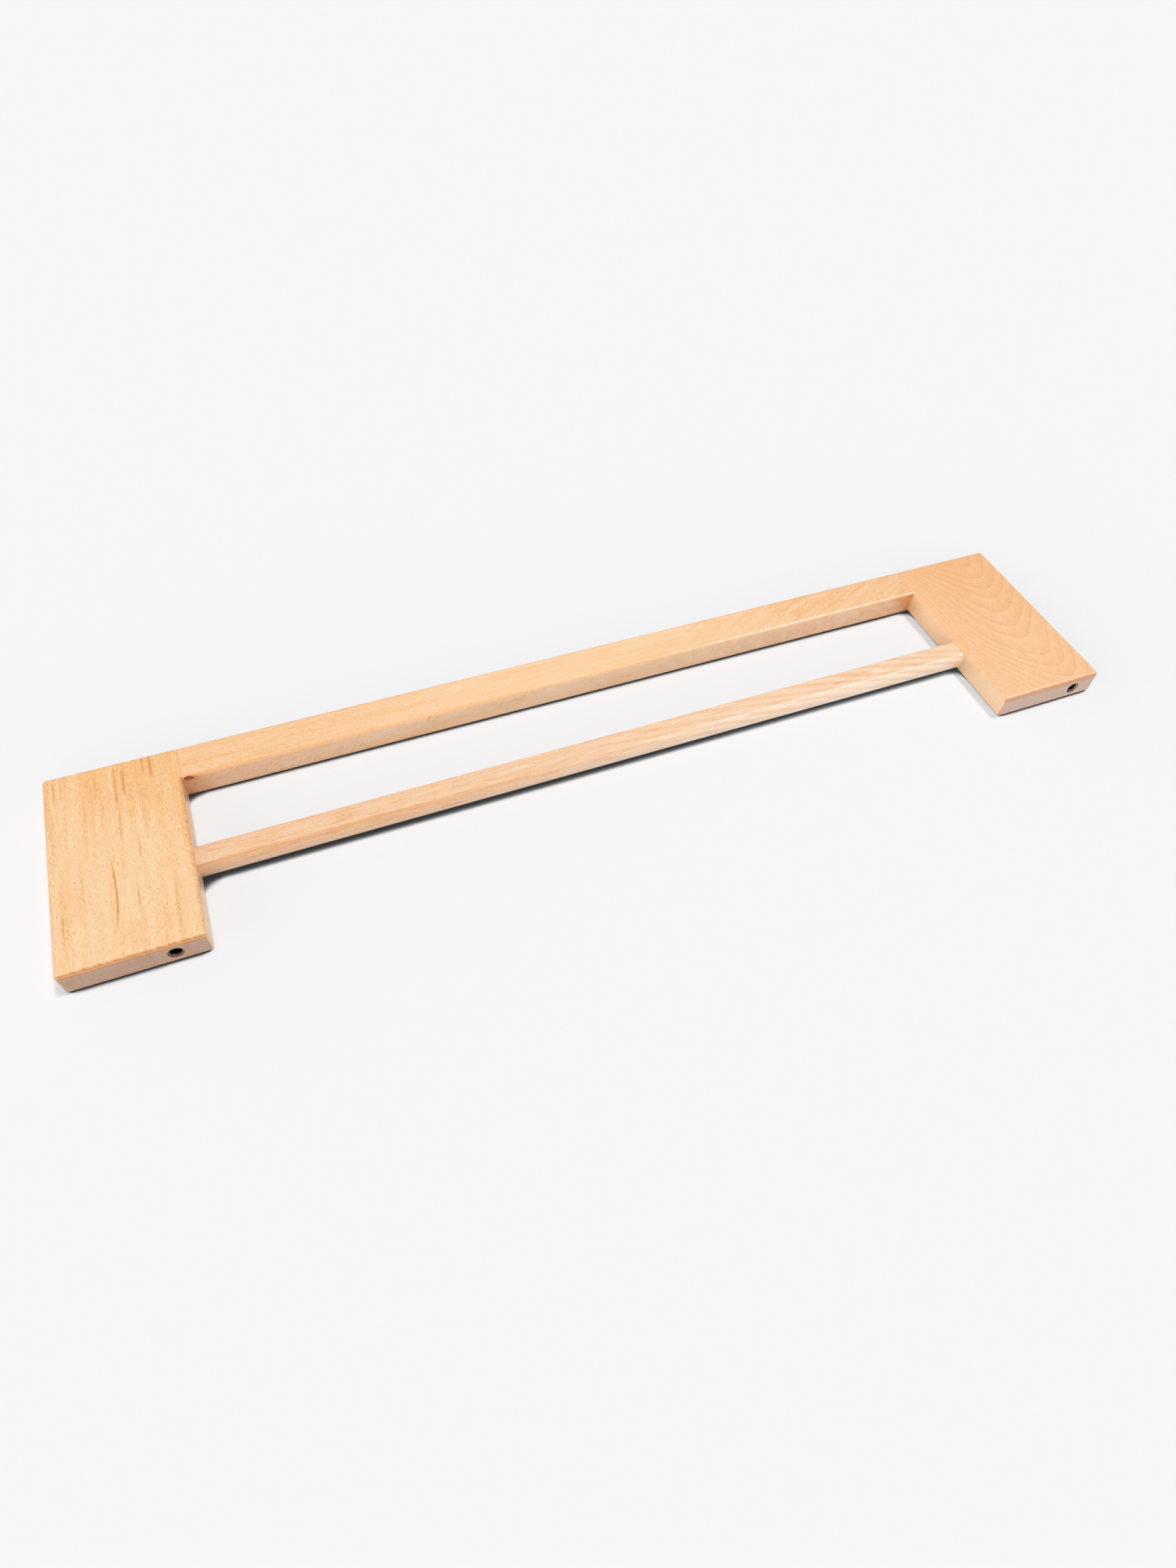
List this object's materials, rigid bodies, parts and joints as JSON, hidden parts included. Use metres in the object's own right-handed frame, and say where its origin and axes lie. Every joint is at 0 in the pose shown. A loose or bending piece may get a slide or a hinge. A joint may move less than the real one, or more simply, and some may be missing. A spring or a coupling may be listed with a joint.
{
  "type": "guard rail",
  "caption": "Flat beech guard rail: wide posts joined by a flush top rail and a flattened round bar, with threaded inserts in the posts' ends.",
  "frame": {"origin": "centre of the underside of the guard as it lies on one broad side, below the middle of its bounding box", "axes": "+X along the length, +Y from the posts' mounting ends to the top rail, +Z through the thickness"},
  "size_m": [0.95, 0.195, 0.025],
  "materials": {
    "left_post_wood": "satin clear lacquer over beech",
    "right_post_wood": "satin clear lacquer over beech",
    "rail_wood": "satin clear lacquer over beech",
    "bar_wood": "satin clear lacquer over beech",
    "dowel_wood": "bare beech",
    "insert_metal": "plated zinc alloy"
  },
  "bodies": {
    "root": {"top_rail": "rail_wood", "lower_bar": "bar_wood", "left_post": "left_post_wood", "right_post": "right_post_wood", "left_insert_nut": "insert_metal", "right_insert_nut": "insert_metal", "left_rail_dowel_front": "dowel_wood", "left_rail_dowel_back": "dowel_wood", "left_bar_dowel_front": "dowel_wood", "left_bar_dowel_back": "dowel_wood", "right_rail_dowel_front": "dowel_wood", "right_rail_dowel_back": "dowel_wood", "right_bar_dowel_front": "dowel_wood", "right_bar_dowel_back": "dowel_wood"}
  },
  "joints": []
}
